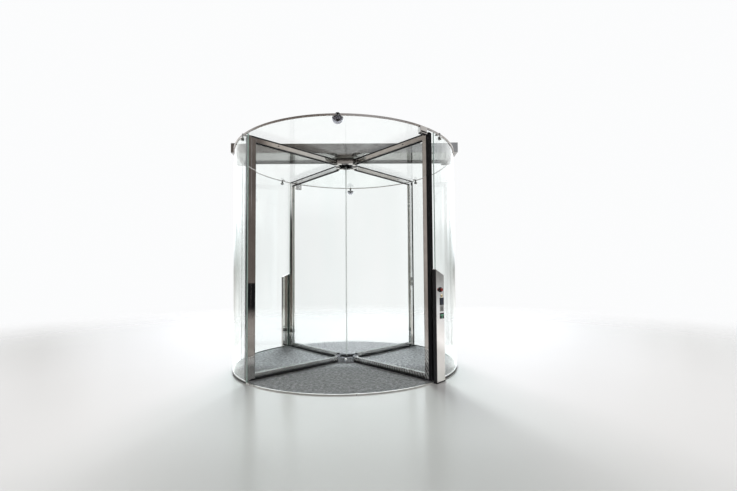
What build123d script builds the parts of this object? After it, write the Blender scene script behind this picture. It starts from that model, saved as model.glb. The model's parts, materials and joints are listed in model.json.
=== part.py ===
from build123d import *
from math import atan2, cos, degrees, radians, sin, sqrt
import os

os.makedirs("parts", exist_ok=True)

# A four-wing revolving door of glass and polished steel in a round glass drum.
# Millimetres. The origin is on the drum's axis at floor level, +Z is up, and the
# building's inner side is -Y.

# Floor: an entrance mat inside a thin ring
mat_height = 12.0
mat_joint = 0.3

# Drum walls: curved glass on each side, open at the front and the back
wall_outer_radius = 1350.0
wall_glass = 12.0
wall_height = 2526.0
opening_half_angle = 45.0
wall_joint = 6.0
base_lip_gap = 0.5
base_lip = 4.0
base_lip_height = 14.0

# Canopy: a glass disc in two panes inside a thin steel rim
canopy_glass = 16.0
canopy_overhang = 0.8
canopy_rim_gap = 0.2
rim_thickness = 8.0
rim_above = 1.0
rim_below = 3.0
canopy_joint = 4.0
canopy_hole_radius = 40.0

# Transom: the steel-clad beam that crosses above the canopy
transom_overhang = 16.0
transom_front = -292.0
transom_back = 65.0
transom_height = 118.0
transom_lift = 17.0
transom_edge = 3.0
seal_strip_width = 30.0
seal_strip_set_in = 10.8
seal_strip_clear = 2.0
bracket_set_in = 14.0
bracket_width = 74.0
bracket_foot = 80.0
bracket_upright = 86.0
bracket_plate = 8.0

# Turning wings: a glass pane framed on three sides, open toward the axis
wing_count = 4
wing_park_angle = 43.3
frame_thickness = 50.0
rail_height = 50.0
stile_width = 50.0
frame_edge = 2.0
wing_glass = 12.0
glass_bite = 12.0
glazing_gap = 0.5
wing_inner_radius = 9.0
seal_gap = 5.0
side_seal = 35.0
side_seal_tip = 38.0
side_seal_base = 46.0
flat_seal = 12.0
flat_seal_thickness = 44.0
seal_joint = 0.5

# Hubs on the axis, and the spindles that turn in the bearings
hub_reach = 166.0
hub_pocket_radius = 88.0
hub_pocket_depth = 34.0
spindle_radius = 30.0
bearing_clearance = 0.05
spindle_end_gap = 4.0
floor_bearing_radius = 110.0
floor_bearing_base = 3.0
top_bearing_radius = 170.0

# Clamps that hold the canopy to the walls, one near each wall end
clamp_angle_from_wall_end = 4.3
clamp_width = 20.0
clamp_reach = 50.0
clamp_plate = 4.0
clamp_gap = 0.3
clamp_drop = 56.0
clamp_disc_radius = 16.0
clamp_disc_height = 5.0
clamp_boss_radius = 18.0
clamp_boss_height = 26.0

# Motion sensors: a dome on a short arm at the middle of each opening
dome_radius = 52.0
dome_reach = 30.0
dome_skirt = 3.0
dome_drop = 36.0
dome_stem_radius = 10.0
dome_arm_end = 8.0
dome_arm_width = 40.0
dome_arm_height = 8.0

# Presence sensors: a box under the rim at one side of each opening
presence_angle = 36.5
presence_width = 95.0
presence_depth = 36.0
presence_height = 68.0
presence_set_in = 6.0
presence_edge = 4.0

# Control posts outside the wall ends
post_angle = 45.6
post_width = 144.0
post_depth = 38.0
post_gap = 0.2
post_height = 1130.0
post_top_fall = 60.0
post_edge = 2.0
post_cover = 4.0
panel_width = 68.0
panel_aside = 25.0
panel_height = 74.0
panel_middle = 806.0
panel_depth = 3.0
panel_edge = 2.0
sign_height = 57.0
sign_middle = 661.5

# Stop buttons on the control posts
button_level = 925.0
button_radius = 16.5
button_height = 13.0
button_lift = 9.5
button_edge = 4.0
stem_radius = 8.0
stem_depth = 16.0
stem_bottom_room = 8.0
collar_radius = 21.0
collar_height = 4.0

# Sizes that follow from the ones above
wall_inner_radius = wall_outer_radius - wall_glass
wall_top = mat_height + wall_height
mat_radius = wall_inner_radius - mat_joint
canopy_top = wall_top + canopy_glass
canopy_radius = wall_outer_radius + canopy_overhang
rim_inner_radius = canopy_radius + canopy_rim_gap
rim_outer_radius = rim_inner_radius + rim_thickness
rim_bottom = wall_top - rim_below
rim_height = rim_below + canopy_glass + rim_above
transom_bottom = canopy_top + transom_lift
transom_half_length = rim_outer_radius + transom_overhang
seal_strip_half_length = canopy_radius - seal_strip_set_in
bracket_reach = canopy_radius - bracket_set_in
dome_distance = rim_outer_radius + dome_reach
presence_inner = rim_outer_radius - presence_set_in
base_lip_radius = wall_outer_radius + base_lip_gap
base_outer_radius = base_lip_radius + base_lip
wing_bottom = mat_height + seal_gap
wing_top = wall_top - seal_gap
frame_bottom = wing_bottom + flat_seal
frame_top = wing_top - flat_seal
seal_tip_radius = sqrt((wall_inner_radius - seal_gap) ** 2 - (side_seal_tip / 2) ** 2)
stile_outer = seal_tip_radius - side_seal
stile_inner = stile_outer - stile_width
groove_width = wing_glass + 2 * glazing_gap
groove_depth = glass_bite + glazing_gap
glass_bottom = frame_bottom + rail_height - glass_bite
glass_top = frame_top - rail_height + glass_bite
bottom_hub_top = glass_bottom - glazing_gap
top_hub_bottom = glass_top + glazing_gap
front = -90.0
opening_end = front + opening_half_angle


def toward(angle):
    """Horizontal direction at an angle counted from +X."""
    return (cos(radians(angle)), sin(radians(angle)), 0)


def upright_plane(angle):
    """Upright plane through the axis: its x runs outward, its y up."""
    return Plane(origin=(0, 0, 0), x_dir=toward(angle), z_dir=toward(angle - 90))


def plan_plane(angle, height):
    """Level plane at a height: its x runs outward at the angle."""
    return Plane(origin=(0, 0, height), x_dir=toward(angle), z_dir=(0, 0, 1))


def end_plane(angle, distance):
    """Upright plane across the outward direction: its x is sideways, its y up."""
    out = toward(angle)
    middle = (out[0] * distance, out[1] * distance, 0)
    return Plane(origin=middle, x_dir=toward(angle + 90), z_dir=out)


def save(piece, name):
    piece.part.label = name
    export_step(piece.part, f"parts/{name}.step")


# Floor

with BuildPart() as mat:
    with BuildSketch(Plane.XY):
        Circle(mat_radius)
        Circle(floor_bearing_radius + mat_joint, mode=Mode.SUBTRACT)
    extrude(amount=mat_height)
save(mat, "entrance_mat")

with BuildPart() as thresholds:
    for turn in (0, 180):
        with BuildSketch(upright_plane(opening_end + turn)):
            with Locations((wall_inner_radius, 0)):
                Rectangle(base_outer_radius - wall_inner_radius, mat_height,
                          align=(Align.MIN, Align.MIN))
        revolve(axis=Axis.Z, revolution_arc=-2 * opening_half_angle)
save(thresholds, "thresholds")

with BuildPart() as base_rails:
    for turn in (0, 180):
        with BuildSketch(upright_plane(opening_end + turn)):
            with Locations((wall_inner_radius, 0)):
                Rectangle(base_outer_radius - wall_inner_radius, mat_height,
                          align=(Align.MIN, Align.MIN))
            with Locations((base_lip_radius, 0)):
                Rectangle(base_lip, mat_height + base_lip_height,
                          align=(Align.MIN, Align.MIN))
        revolve(axis=Axis.Z, revolution_arc=180 - 2 * opening_half_angle)
save(base_rails, "wall_base_rails")

with BuildPart() as floor_bearing:
    with BuildSketch(Plane.XY):
        Circle(floor_bearing_radius)
    extrude(amount=mat_height)
    with BuildSketch(Plane.XY.offset(mat_height)):
        Circle(spindle_radius + bearing_clearance)
    extrude(amount=floor_bearing_base - mat_height, mode=Mode.SUBTRACT)
save(floor_bearing, "floor_bearing")

# Drum walls: two panes a side, with a joint in the plane of the building's front

joint_half_angle = degrees(atan2(wall_joint / 2, wall_inner_radius))
pane_arc = 90 - opening_half_angle - joint_half_angle
panes = {
    "wall_right_front": opening_end,
    "wall_right_back": joint_half_angle,
    "wall_left_back": opening_end + 180,
    "wall_left_front": joint_half_angle + 180,
}
for name, start in panes.items():
    with BuildPart() as pane:
        with BuildSketch(upright_plane(start)):
            with Locations((wall_inner_radius, mat_height)):
                Rectangle(wall_glass, wall_height, align=(Align.MIN, Align.MIN))
        revolve(axis=Axis.Z, revolution_arc=pane_arc)
    save(pane, name)

with BuildPart() as wall_joints:
    for turn in (0, 180):
        with BuildSketch(upright_plane(turn - joint_half_angle)):
            with Locations((wall_inner_radius, mat_height)):
                Rectangle(wall_glass, wall_height, align=(Align.MIN, Align.MIN))
        revolve(axis=Axis.Z, revolution_arc=2 * joint_half_angle)
save(wall_joints, "wall_joint_strips")

# Canopy

canopy_split = transom_back - seal_strip_width / 2
with BuildPart() as canopy_front:
    with BuildSketch(Plane.XY.offset(wall_top)):
        Circle(canopy_radius)
        Circle(canopy_hole_radius, mode=Mode.SUBTRACT)
        with Locations((0, canopy_split - canopy_joint / 2)):
            Rectangle(3 * canopy_radius, 2 * canopy_radius,
                      align=(Align.CENTER, Align.MIN), mode=Mode.SUBTRACT)
    extrude(amount=canopy_glass)
save(canopy_front, "canopy_front")

with BuildPart() as canopy_back:
    with BuildSketch(Plane.XY.offset(wall_top)):
        Circle(canopy_radius)
        with Locations((0, canopy_split + canopy_joint / 2)):
            Rectangle(3 * canopy_radius, 2 * canopy_radius,
                      align=(Align.CENTER, Align.MAX), mode=Mode.SUBTRACT)
    extrude(amount=canopy_glass)
save(canopy_back, "canopy_back")

for name, start in (("canopy_rim_front", -180), ("canopy_rim_back", 0)):
    with BuildPart() as rim:
        with BuildSketch(upright_plane(start)):
            with Locations((rim_inner_radius, rim_bottom)):
                Rectangle(rim_thickness, rim_height, align=(Align.MIN, Align.MIN))
        revolve(axis=Axis.Z, revolution_arc=180)
    save(rim, name)

# Transom and what seats it on the canopy

with BuildPart() as transom:
    with BuildSketch(Plane.YZ.offset(-transom_half_length)):
        with Locations((transom_front, transom_bottom)):
            Rectangle(transom_back - transom_front, transom_height,
                      align=(Align.MIN, Align.MIN))
    extrude(amount=2 * transom_half_length)
    fillet(transom.edges().filter_by(Axis.X), transom_edge)
save(transom, "transom")

strip_start = top_bearing_radius + seal_strip_clear
with BuildPart() as seal_strips:
    with BuildSketch(Plane.XY.offset(canopy_top)):
        for side in (-1, 1):
            with Locations((side * (strip_start + seal_strip_half_length) / 2,
                            canopy_split)):
                Rectangle(seal_strip_half_length - strip_start, seal_strip_width)
    extrude(amount=transom_lift)
save(seal_strips, "canopy_seal_strips")

with BuildPart() as brackets:
    for side in (-1, 1):
        with BuildSketch(Plane.YZ.offset(side * (bracket_reach - bracket_width / 2))):
            with Locations((transom_back, canopy_top)):
                Rectangle(bracket_foot, bracket_plate, align=(Align.MIN, Align.MIN))
                Rectangle(bracket_plate, bracket_upright, align=(Align.MIN, Align.MIN))
        extrude(amount=bracket_width / 2, both=True)
save(brackets, "transom_brackets")

with BuildPart() as top_bearing:
    with BuildSketch(Plane.XY.offset(canopy_top)):
        Circle(top_bearing_radius)
        Circle(spindle_radius + bearing_clearance, mode=Mode.SUBTRACT)
    extrude(amount=transom_lift)
save(top_bearing, "top_bearing")

clamp_offset = opening_half_angle + clamp_angle_from_wall_end
clamp_angles = (front - clamp_offset, front + clamp_offset,
                front + 180 - clamp_offset, front + 180 + clamp_offset)
leg_inner = rim_outer_radius + clamp_gap
leg_outer = leg_inner + clamp_plate
plate_bottom = rim_bottom + rim_height + clamp_gap
plate_top = plate_bottom + clamp_plate
with BuildPart() as clamps:
    for angle in clamp_angles:
        with BuildSketch(upright_plane(angle)):
            with Locations((leg_outer, plate_top)):
                Rectangle(clamp_reach, clamp_plate, align=(Align.MAX, Align.MAX))
                Rectangle(clamp_plate, clamp_drop, align=(Align.MAX, Align.MAX))
        extrude(amount=clamp_width / 2, both=True)
        with BuildSketch(plan_plane(angle, canopy_top)):
            with Locations((leg_outer - clamp_reach, 0)):
                Circle(clamp_disc_radius)
        extrude(amount=plate_top - canopy_top + clamp_disc_height - clamp_plate)
        with BuildSketch(end_plane(angle, wall_outer_radius + clamp_gap)):
            with Locations((0, plate_top - clamp_drop)):
                Circle(clamp_boss_radius)
        extrude(amount=clamp_boss_height - clamp_gap)
save(clamps, "canopy_clamps")

# Sensors

dome_top = wall_top - rim_below - dome_drop
arm_bottom = dome_top + dome_drop
arm_start = rim_outer_radius + clamp_gap
arm_length = dome_distance + dome_stem_radius + dome_arm_end - arm_start
with BuildPart() as motion_sensors:
    for angle in (front, front + 180):
        out = toward(angle)
        middle = (out[0] * dome_distance, out[1] * dome_distance, dome_top)
        with BuildSketch(Plane(origin=middle, x_dir=out, z_dir=toward(angle - 90))):
            with BuildLine():
                Polyline((0, dome_drop), (dome_stem_radius, dome_drop),
                         (dome_stem_radius, 0), (dome_radius, 0),
                         (dome_radius, -dome_skirt))
                CenterArc((0, -dome_skirt), dome_radius, start_angle=-90, arc_size=90)
                Line((0, -dome_skirt - dome_radius), (0, dome_drop))
            make_face()
        revolve(axis=Axis(middle, (0, 0, 1)))
        with BuildSketch(plan_plane(angle, arm_bottom)):
            with Locations((arm_start, 0)):
                Rectangle(arm_length, dome_arm_width,
                          align=(Align.MIN, Align.CENTER))
        extrude(amount=dome_arm_height)
save(motion_sensors, "motion_sensors")

with BuildPart() as presence_sensors:
    for angle in (front + presence_angle, front + presence_angle + 180):
        with BuildSketch(plan_plane(angle, rim_bottom - presence_height)):
            with Locations((presence_inner, 0)):
                Rectangle(presence_depth, presence_width,
                          align=(Align.MIN, Align.CENTER))
        extrude(amount=presence_height)
    fillet(presence_sensors.edges().filter_by(Axis.Z), presence_edge)
save(presence_sensors, "presence_sensors")

# Control posts

post_angles = (front + post_angle, front + post_angle + 180)
post_inner = base_outer_radius + post_gap
post_outer = post_inner + post_depth
button_face = post_outer + collar_height
with BuildPart() as posts:
    for angle in post_angles:
        with BuildSketch(end_plane(angle, post_inner)):
            with BuildLine():
                Polyline((-post_width / 2, 0), (post_width / 2, 0),
                         (post_width / 2, post_height - post_top_fall),
                         (-post_width / 2, post_height), close=True)
            make_face()
        extrude(amount=post_depth)
    fillet(posts.edges().filter_by(Axis.Z), post_edge)
    for angle in post_angles:
        with BuildSketch(end_plane(angle, post_outer)):
            with Locations((0, button_level)):
                Circle(stem_radius + bearing_clearance)
        extrude(amount=-(stem_depth + stem_bottom_room), mode=Mode.SUBTRACT)
save(posts, "control_posts")

with BuildPart() as post_covers:
    for angle in post_angles:
        with BuildSketch(plan_plane(angle, 0)):
            with Locations((post_inner, -post_width / 2)):
                Rectangle(post_depth, post_cover, align=(Align.MIN, Align.MAX))
        extrude(amount=post_height)
save(post_covers, "post_side_covers")

with BuildPart() as panels:
    for angle in post_angles:
        with BuildSketch(end_plane(angle, post_outer)):
            with Locations((panel_aside, panel_middle)):
                Rectangle(panel_width, panel_height)
            with Locations((panel_aside, sign_middle)):
                Rectangle(panel_width, sign_height)
            fillet(vertices(), panel_edge)
        extrude(amount=panel_depth)
save(panels, "post_panels")

with BuildPart() as collars:
    for angle in post_angles:
        with BuildSketch(end_plane(angle, post_outer)):
            with Locations((0, button_level)):
                Circle(collar_radius)
                Circle(stem_radius + bearing_clearance, mode=Mode.SUBTRACT)
        extrude(amount=collar_height)
save(collars, "button_collars")

for name, angle in zip(("stop_button_front", "stop_button_back"), post_angles):
    with BuildPart() as button:
        with BuildSketch(end_plane(angle, button_face + button_lift)):
            with Locations((0, button_level)):
                Circle(button_radius)
        extrude(amount=button_height)
        fillet(button.faces().sort_by(Axis(origin=(0, 0, 0), direction=toward(angle)))[-1]
               .edges(), button_edge)
        with BuildSketch(end_plane(angle, button_face + button_lift)):
            with Locations((0, button_level)):
                Circle(stem_radius)
        extrude(amount=-(button_lift + collar_height + stem_depth))
    save(button, name)

# Wings

for number in range(1, wing_count + 1):
    angle = wing_park_angle + (number - 1) * 360 / wing_count

    with BuildPart() as stile:
        with BuildSketch(plan_plane(angle, frame_bottom)):
            with Locations((stile_inner, 0)):
                Rectangle(stile_width, frame_thickness,
                          align=(Align.MIN, Align.CENTER))
            fillet(vertices(), frame_edge)
            with Locations((stile_inner, 0)):
                Rectangle(groove_depth, groove_width,
                          align=(Align.MIN, Align.CENTER), mode=Mode.SUBTRACT)
        extrude(amount=frame_top - frame_bottom)
    save(stile, f"wing_{number}_stile")

    for name, level, groove_side in (("bottom_rail", frame_bottom, Align.MAX),
                                     ("top_rail", frame_top - rail_height, Align.MIN)):
        with BuildPart() as rail:
            with BuildSketch(end_plane(angle, hub_reach)):
                with Locations((0, level)):
                    Rectangle(frame_thickness, rail_height,
                              align=(Align.CENTER, Align.MIN))
                fillet(vertices(), frame_edge)
                groove_level = level if name == "top_rail" else level + rail_height
                with Locations((0, groove_level)):
                    Rectangle(groove_width, groove_depth,
                              align=(Align.CENTER, groove_side), mode=Mode.SUBTRACT)
            extrude(amount=stile_inner - hub_reach)
        save(rail, f"wing_{number}_{name}")

    with BuildPart() as glass:
        with BuildSketch(upright_plane(angle)):
            with Locations((wing_inner_radius, glass_bottom)):
                Rectangle(stile_inner + glass_bite - wing_inner_radius,
                          glass_top - glass_bottom, align=(Align.MIN, Align.MIN))
        extrude(amount=wing_glass / 2, both=True)
    save(glass, f"wing_{number}_glass")

    with BuildPart() as seals:
        with BuildSketch(plan_plane(angle, wing_bottom)):
            with BuildLine():
                Polyline((stile_outer, -side_seal_base / 2),
                         (seal_tip_radius, -side_seal_tip / 2),
                         (seal_tip_radius, side_seal_tip / 2),
                         (stile_outer, side_seal_base / 2), close=True)
            make_face()
        extrude(amount=wing_top - wing_bottom)
        for level in (wing_bottom, frame_top):
            with BuildSketch(plan_plane(angle, level)):
                with Locations((hub_reach + seal_joint, 0)):
                    Rectangle(stile_outer - hub_reach - 2 * seal_joint,
                              flat_seal_thickness, align=(Align.MIN, Align.CENTER))
            extrude(amount=flat_seal)
    save(seals, f"wing_{number}_seals")

# Hubs: each is a square block with its corners cut where the rails meet it


def hub_outline():
    points = []
    for index in range(wing_count):
        angle = radians(wing_park_angle + index * 360 / wing_count)
        for side in (-1, 1):
            across = side * frame_thickness / 2
            points.append((hub_reach * cos(angle) - across * sin(angle),
                           hub_reach * sin(angle) + across * cos(angle)))
    return points


with BuildPart() as bottom_hub:
    with BuildSketch(Plane.XY.offset(wing_bottom)):
        with BuildLine():
            Polyline(*hub_outline(), close=True)
        make_face()
    extrude(amount=bottom_hub_top - wing_bottom)
    with BuildSketch(Plane.XY.offset(bottom_hub_top)):
        Circle(hub_pocket_radius)
    extrude(amount=-hub_pocket_depth, mode=Mode.SUBTRACT)
    with BuildSketch(Plane.XY.offset(wing_bottom)):
        Circle(spindle_radius)
    extrude(amount=floor_bearing_base + spindle_end_gap - wing_bottom)
save(bottom_hub, "bottom_hub")

with BuildPart() as top_hub:
    with BuildSketch(Plane.XY.offset(top_hub_bottom)):
        with BuildLine():
            Polyline(*hub_outline(), close=True)
        make_face()
    extrude(amount=wing_top - top_hub_bottom)
    with BuildSketch(Plane.XY.offset(top_hub_bottom)):
        Circle(hub_pocket_radius)
    extrude(amount=hub_pocket_depth, mode=Mode.SUBTRACT)
    with BuildSketch(Plane.XY.offset(wing_top)):
        Circle(spindle_radius)
    extrude(amount=transom_bottom - spindle_end_gap - wing_top)
save(top_hub, "top_hub")
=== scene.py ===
import bmesh
import bpy
import json
import math
import random
from mathutils import Matrix, Vector


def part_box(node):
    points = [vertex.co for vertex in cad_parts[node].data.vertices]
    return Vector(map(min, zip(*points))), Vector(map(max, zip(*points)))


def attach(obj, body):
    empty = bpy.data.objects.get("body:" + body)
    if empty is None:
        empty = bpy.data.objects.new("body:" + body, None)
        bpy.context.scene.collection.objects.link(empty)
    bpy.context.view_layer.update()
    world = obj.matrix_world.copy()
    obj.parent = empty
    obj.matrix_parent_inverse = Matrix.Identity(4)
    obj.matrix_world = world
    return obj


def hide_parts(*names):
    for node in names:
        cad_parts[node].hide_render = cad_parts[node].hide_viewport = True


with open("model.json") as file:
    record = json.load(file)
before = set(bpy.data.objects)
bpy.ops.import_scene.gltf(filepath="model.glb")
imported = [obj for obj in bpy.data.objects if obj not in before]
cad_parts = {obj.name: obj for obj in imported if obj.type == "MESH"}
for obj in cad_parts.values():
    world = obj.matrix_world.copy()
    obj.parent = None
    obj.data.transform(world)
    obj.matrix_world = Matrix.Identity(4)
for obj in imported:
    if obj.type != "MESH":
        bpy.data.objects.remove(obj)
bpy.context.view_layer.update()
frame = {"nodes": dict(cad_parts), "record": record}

nodes = frame["nodes"]
rng = random.Random(11)

# Levels, radii and places in metres, angles in degrees
MAT_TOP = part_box("entrance_mat")[1].z
MAT_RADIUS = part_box("entrance_mat")[1].x
BEARING_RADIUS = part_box("floor_bearing")[1].x
WALL_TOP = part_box("wall_right_front")[1].z
CANOPY_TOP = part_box("canopy_front")[1].z
WALL_INNER = 1.338
WALL_OUTER = 1.350
WING_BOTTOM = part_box("wing_1_seals")[0].z
WING_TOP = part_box("wing_1_seals")[1].z
FRAME_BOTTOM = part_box("wing_1_stile")[0].z
FRAME_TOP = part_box("wing_1_stile")[1].z
RAIL = 0.050
HALF_FRAME = 0.025
HALF_GLASS = 0.006
HUB_REACH = 0.166
HUB_SIDE = (HUB_REACH + HALF_FRAME) / math.sqrt(2)
SEAL_TIP = math.sqrt(1.333 ** 2 - 0.019 ** 2)
STILE_OUT = SEAL_TIP - 0.035
STILE_IN = STILE_OUT - 0.050
COVER_END = 1.3312
WING_ANGLES = (43.3, 133.3, 223.3, 313.3)
POST_ANGLES = (-44.4, 135.6)
POST_INNER = 1.3547
POST_OUTER = 1.3927
POST_HALF = 0.072
POST_TOP, POST_FALL = 1.130, 0.060
RIM_OUTER = 1.359
RIM_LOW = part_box("canopy_rim_front")[0].z
DOME_RADIUS, DOME_REACH, DOME_LEVEL = 0.052, 1.389, 2.496
HUB_TOP = 0.0665
HUB_UNDER = 2.4835
POCKET = 0.088
POCKET_DEPTH = 0.034
CLAMP_ANGLES = (-139.3, -40.7, 40.7, 139.3)
CLAMP_TOP, CLAMP_DISC_AT, CLAMP_BOSS_END, CLAMP_BOSS_LEVEL = 2.5603, 1.3133, 1.376, 2.5033
PRESENCE_ANGLES = (-53.5, 126.5)
PRESENCE_INNER, PRESENCE_OUTER = 1.353, 1.389
PRESENCE_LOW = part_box("presence_sensors")[0].z
LOCK_LEVEL = 0.990
RAIL_HOLE_AT, RAIL_SCREWS_AT = 0.985, (0.190, 0.222)
BRUSH_PITCH, BRUSH_WIDTH = 0.006, 0.0062
HUB_PLATE_WIDTH, HUB_PLATE_ASIDE = 0.050, 0.068
HUB_BOLT_LEVEL, HUB_SCREW_RADIUS = 0.0505, 0.112
SEAM_PLACES = (-0.69, 0.0, 0.69)
BEAM_SCREW_PLACES = (-1.30, -0.76, -0.62, 0.62, 0.76, 1.30)
PANEL_ASIDE = 0.025
KEY_LEVEL, SCREEN_LEVEL, BUTTON_LEVEL = 0.8625, 0.806, 0.925
SPEAKER_LEVEL, LOWEST_SLOT, SLOT_PITCH = 0.7355, 0.7165, 0.0080
BAR_LIGHT_LEVEL, SPOT_LIGHT_LEVEL = 0.669, 0.648


# Node helpers
def new_material(name):
    mat = bpy.data.materials.new(name)
    mat.use_nodes = True
    tree = mat.node_tree
    tree.nodes.clear()
    out = tree.nodes.new("ShaderNodeOutputMaterial")
    shader = tree.nodes.new("ShaderNodeBsdfPrincipled")
    tree.links.new(shader.outputs[0], out.inputs["Surface"])
    return mat, tree, shader


def place_in(tree, kind="Object"):
    return tree.nodes.new("ShaderNodeTexCoord").outputs[kind]


def axes(tree, place):
    split = tree.nodes.new("ShaderNodeSeparateXYZ")
    tree.links.new(place, split.inputs[0])
    return split.outputs


def coords(tree, scale=(1, 1, 1)):
    mapping = tree.nodes.new("ShaderNodeMapping")
    mapping.inputs["Scale"].default_value = scale
    tree.links.new(place_in(tree), mapping.inputs["Vector"])
    return mapping.outputs[0]


def noise(tree, vector, scale, detail=4.0, rough=0.5, distortion=0.0):
    n = tree.nodes.new("ShaderNodeTexNoise")
    n.inputs["Scale"].default_value = scale
    n.inputs["Detail"].default_value = detail
    n.inputs["Roughness"].default_value = rough
    n.inputs["Distortion"].default_value = distortion
    tree.links.new(vector, n.inputs["Vector"])
    return n.outputs["Fac"]


def ramp(tree, value, stops):
    r = tree.nodes.new("ShaderNodeValToRGB")
    band = r.color_ramp
    while len(band.elements) < len(stops):
        band.elements.new(0.5)
    for element, (at, colour) in zip(band.elements, stops):
        element.position = at
        element.color = (*colour, 1)
    tree.links.new(value, r.inputs["Fac"])
    return r.outputs["Color"]


def spread(tree, value, low, high, start=0.3, end=0.7):
    m = tree.nodes.new("ShaderNodeMapRange")
    m.inputs["From Min"].default_value = start
    m.inputs["From Max"].default_value = end
    m.inputs["To Min"].default_value = low
    m.inputs["To Max"].default_value = high
    tree.links.new(value, m.inputs["Value"])
    return m.outputs["Result"]


def bump(tree, shader, height, distance):
    b = tree.nodes.new("ShaderNodeBump")
    b.inputs["Strength"].default_value = 1.0
    b.inputs["Distance"].default_value = distance
    tree.links.new(height, b.inputs["Height"])
    tree.links.new(b.outputs["Normal"], shader.inputs["Normal"])


def math_node(tree, operation, a, b):
    m = tree.nodes.new("ShaderNodeMath")
    m.operation = operation
    for socket, value in zip(m.inputs, (a, b)):
        if isinstance(value, (int, float)):
            socket.default_value = value
        else:
            tree.links.new(value, socket)
    return m.outputs[0]


def colour_mix(tree, blend, factor, a, b):
    m = tree.nodes.new("ShaderNodeMix")
    m.data_type = "RGBA"
    m.blend_type = blend
    for socket, value in ((m.inputs[0], factor), (m.inputs[6], a), (m.inputs[7], b)):
        if isinstance(value, (int, float, tuple)):
            socket.default_value = value
        else:
            tree.links.new(value, socket)
    return m.outputs[2]


# Materials
def metal(name, dark, light, rough, grain=(1, 1, 1), scale=9.0, wave=0.0, wave_scale=1.6,
          scratch=0.0, edge_tint=(1, 1, 1)):
    mat, tree, shader = new_material(name)
    shader.inputs["Metallic"].default_value = 1.0
    shader.inputs["Specular Tint"].default_value = (*edge_tint, 1)
    value = noise(tree, coords(tree, grain), scale, 5.0, 0.6)
    tree.links.new(ramp(tree, value, ((0.3, dark), (0.7, light))), shader.inputs["Base Color"])
    smudge = noise(tree, coords(tree), 5.0, 3.0, 0.55)
    tree.links.new(spread(tree, smudge, rough[0], rough[1]), shader.inputs["Roughness"])
    if wave:
        sheet = noise(tree, coords(tree, (1, 1, 0.35)), wave_scale, 1.0, 0.4)
        bump(tree, shader, sheet, wave)
    elif scratch:
        bump(tree, shader, value, scratch)
    return mat


def glass(name, ior, absorb, density, wave):
    """Clear float glass. Its body takes out red, so long paths and edges turn green."""
    mat, tree, shader = new_material(name)
    out = tree.nodes["Material Output"]
    tint = noise(tree, coords(tree, (1, 1, 0.2)), 2.5, 2.0, 0.5)
    tree.links.new(ramp(tree, tint, ((0.3, (0.975, 0.99, 0.985)), (0.7, (0.995, 0.998, 0.996)))),
                   shader.inputs["Base Color"])
    shader.inputs["Transmission Weight"].default_value = 1.0
    shader.inputs["IOR"].default_value = ior
    shader.inputs["Roughness"].default_value = 0.0
    sheet = noise(tree, coords(tree, (1, 1, 0.3)), 1.3, 1.0, 0.4)
    bump(tree, shader, sheet, wave)
    clear = tree.nodes.new("ShaderNodeBsdfTransparent")
    clear.inputs["Color"].default_value = (0.93, 0.945, 0.94, 1)
    path = tree.nodes.new("ShaderNodeLightPath")
    pick = math_node(tree, "MAXIMUM", path.outputs["Is Shadow Ray"], path.outputs["Is Diffuse Ray"])
    mix = tree.nodes.new("ShaderNodeMixShader")
    tree.links.new(pick, mix.inputs[0])
    tree.links.new(shader.outputs[0], mix.inputs[1])
    tree.links.new(clear.outputs[0], mix.inputs[2])
    tree.links.new(mix.outputs[0], out.inputs["Surface"])
    body = tree.nodes.new("ShaderNodeVolumeAbsorption")
    body.inputs["Color"].default_value = (*absorb, 1)
    body.inputs["Density"].default_value = density
    tree.links.new(body.outputs[0], out.inputs["Volume"])
    return mat


def plastic(name, dark, light, rough, scale=40.0, grain=0.0, coat=0.0, stretch=(1, 1, 1), shine=0.5,
            alpha=1.0):
    mat, tree, shader = new_material(name)
    shader.inputs["Alpha"].default_value = alpha
    shader.inputs["Specular IOR Level"].default_value = shine
    value = noise(tree, coords(tree, stretch), scale, 5.0, 0.6)
    tree.links.new(ramp(tree, value, ((0.3, dark), (0.7, light))), shader.inputs["Base Color"])
    tree.links.new(spread(tree, value, rough[0], rough[1]), shader.inputs["Roughness"])
    shader.inputs["Coat Weight"].default_value = coat
    shader.inputs["Coat Roughness"].default_value = 0.08
    if grain:
        bump(tree, shader, value, grain)
    return mat


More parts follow.
